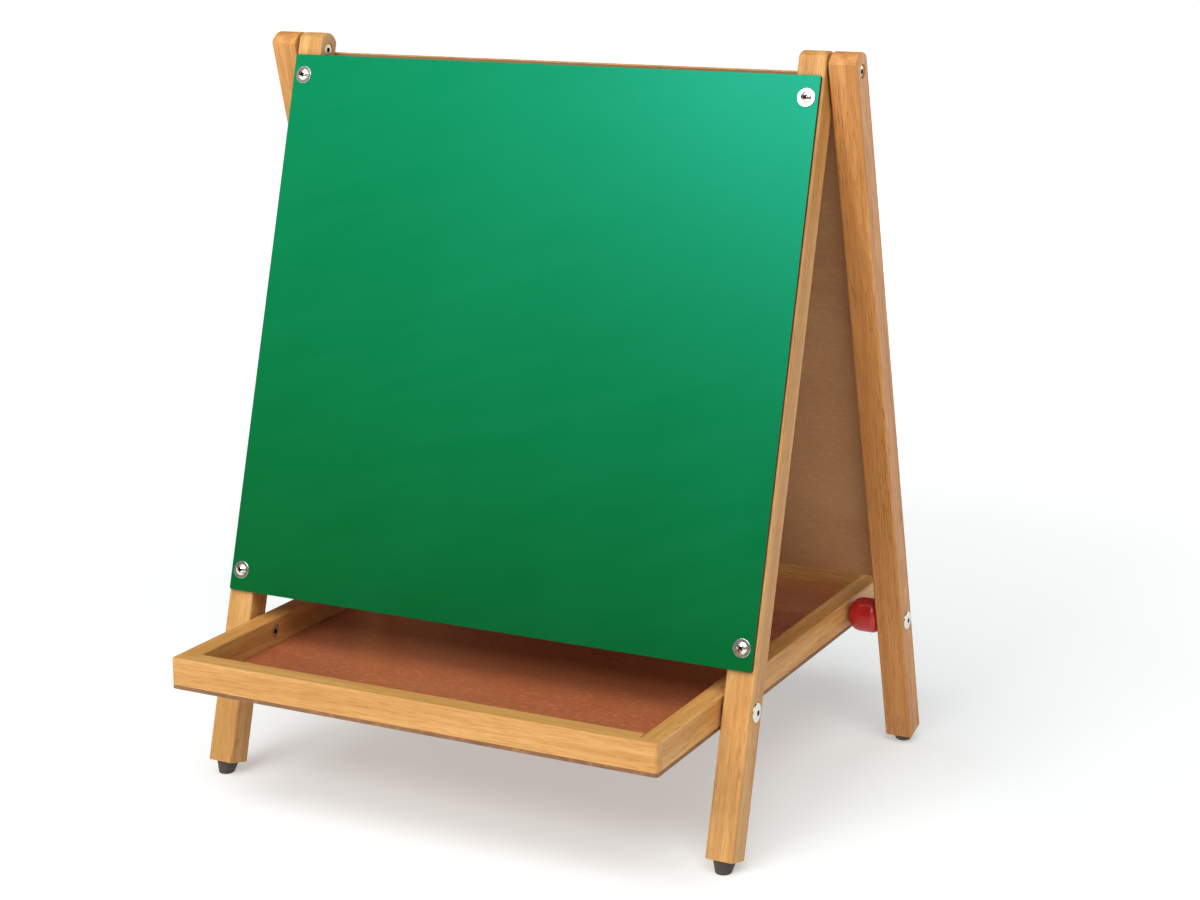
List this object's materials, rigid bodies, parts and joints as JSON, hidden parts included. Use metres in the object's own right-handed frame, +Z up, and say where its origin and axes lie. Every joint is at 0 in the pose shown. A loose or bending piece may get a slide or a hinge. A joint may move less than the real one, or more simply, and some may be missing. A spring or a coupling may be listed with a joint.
{
  "type": "tabletop easel",
  "caption": "Folding double-sided tabletop easel for children with a chalkboard, a write-and-wipe board and a storage tray under both boards.",
  "frame": {"origin": "on the floor, midway between the four feet", "axes": "+Z up, X across the easel, the chalkboard faces -Y and the write-and-wipe board faces +Y"},
  "size_m": [0.512, 0.4814, 0.5818],
  "materials": {
    "hardwood": "clear satin lacquer on straight-grained hardwood",
    "green_board": "smooth satin chalkboard enamel on hardboard",
    "white_board": "gloss write-and-wipe melamine face on hardboard",
    "hardboard": "semi-gloss sealed hardboard",
    "red_lacquer": "gloss red",
    "rubber": "matte dark rubber",
    "nickel_plate": "bright nickel plate",
    "insert_brass": "turned brass",
    "screw_steel": "zinc-plated steel",
    "nylon": "black nylon"
  },
  "bodies": {
    "front_frame": {"front_leg_left": "hardwood", "front_leg_right": "hardwood", "front_foot_left": "rubber", "front_foot_right": "rubber", "front_foot_screws": "screw_steel", "chalkboard": "green_board", "chalkboard_bolts": "nickel_plate", "chalkboard_inserts": "insert_brass", "hinge_washers": "nylon", "tray_pivot_bolts": "nickel_plate", "tray_pivot_nuts": "nickel_plate", "tray_pivot_washers": "nylon"},
    "rear_frame": {"rear_leg_left": "hardwood", "rear_leg_right": "hardwood", "rear_foot_left": "rubber", "rear_foot_right": "rubber", "rear_foot_screws": "screw_steel", "whiteboard": "white_board", "whiteboard_bolts": "nickel_plate", "whiteboard_inserts": "insert_brass", "hinge_bolts": "nickel_plate", "hinge_sleeve_nuts": "nickel_plate", "knob_bolts": "nickel_plate"},
    "tray": {"tray_front_rail": "hardwood", "tray_rear_rail": "hardwood", "tray_left_rail": "hardwood", "tray_right_rail": "hardwood", "tray_bottom_panel": "hardboard", "tray_panel_screws": "screw_steel", "tray_corner_dowels": "hardwood"},
    "knob_left": {"lock_knob_left": "red_lacquer", "knob_insert_left": "insert_brass"},
    "knob_right": {"lock_knob_right": "red_lacquer", "knob_insert_right": "insert_brass"}
  },
  "joints": [
    {"name": "rear_frame_fold", "type": "hinge", "parent": "front_frame", "child": "rear_frame", "pos_m": [0, 0, 0.56777], "axis": [-1, 0, 0], "range_deg": [0, 27.5]},
    {"name": "tray_lift", "type": "hinge", "parent": "front_frame", "child": "tray", "pos_m": [0, -0.12599, 0.11347], "axis": [1, 0, 0], "range_deg": [0, 4.5]},
    {"name": "knob_left_turn", "type": "hinge", "parent": "rear_frame", "child": "knob_left", "pos_m": [-0.21875, 0.12599, 0.11347], "axis": [1, 0, 0], "continuous": true},
    {"name": "knob_right_turn", "type": "hinge", "parent": "rear_frame", "child": "knob_right", "pos_m": [0.21875, 0.12599, 0.11347], "axis": [1, 0, 0], "continuous": true}
  ]
}
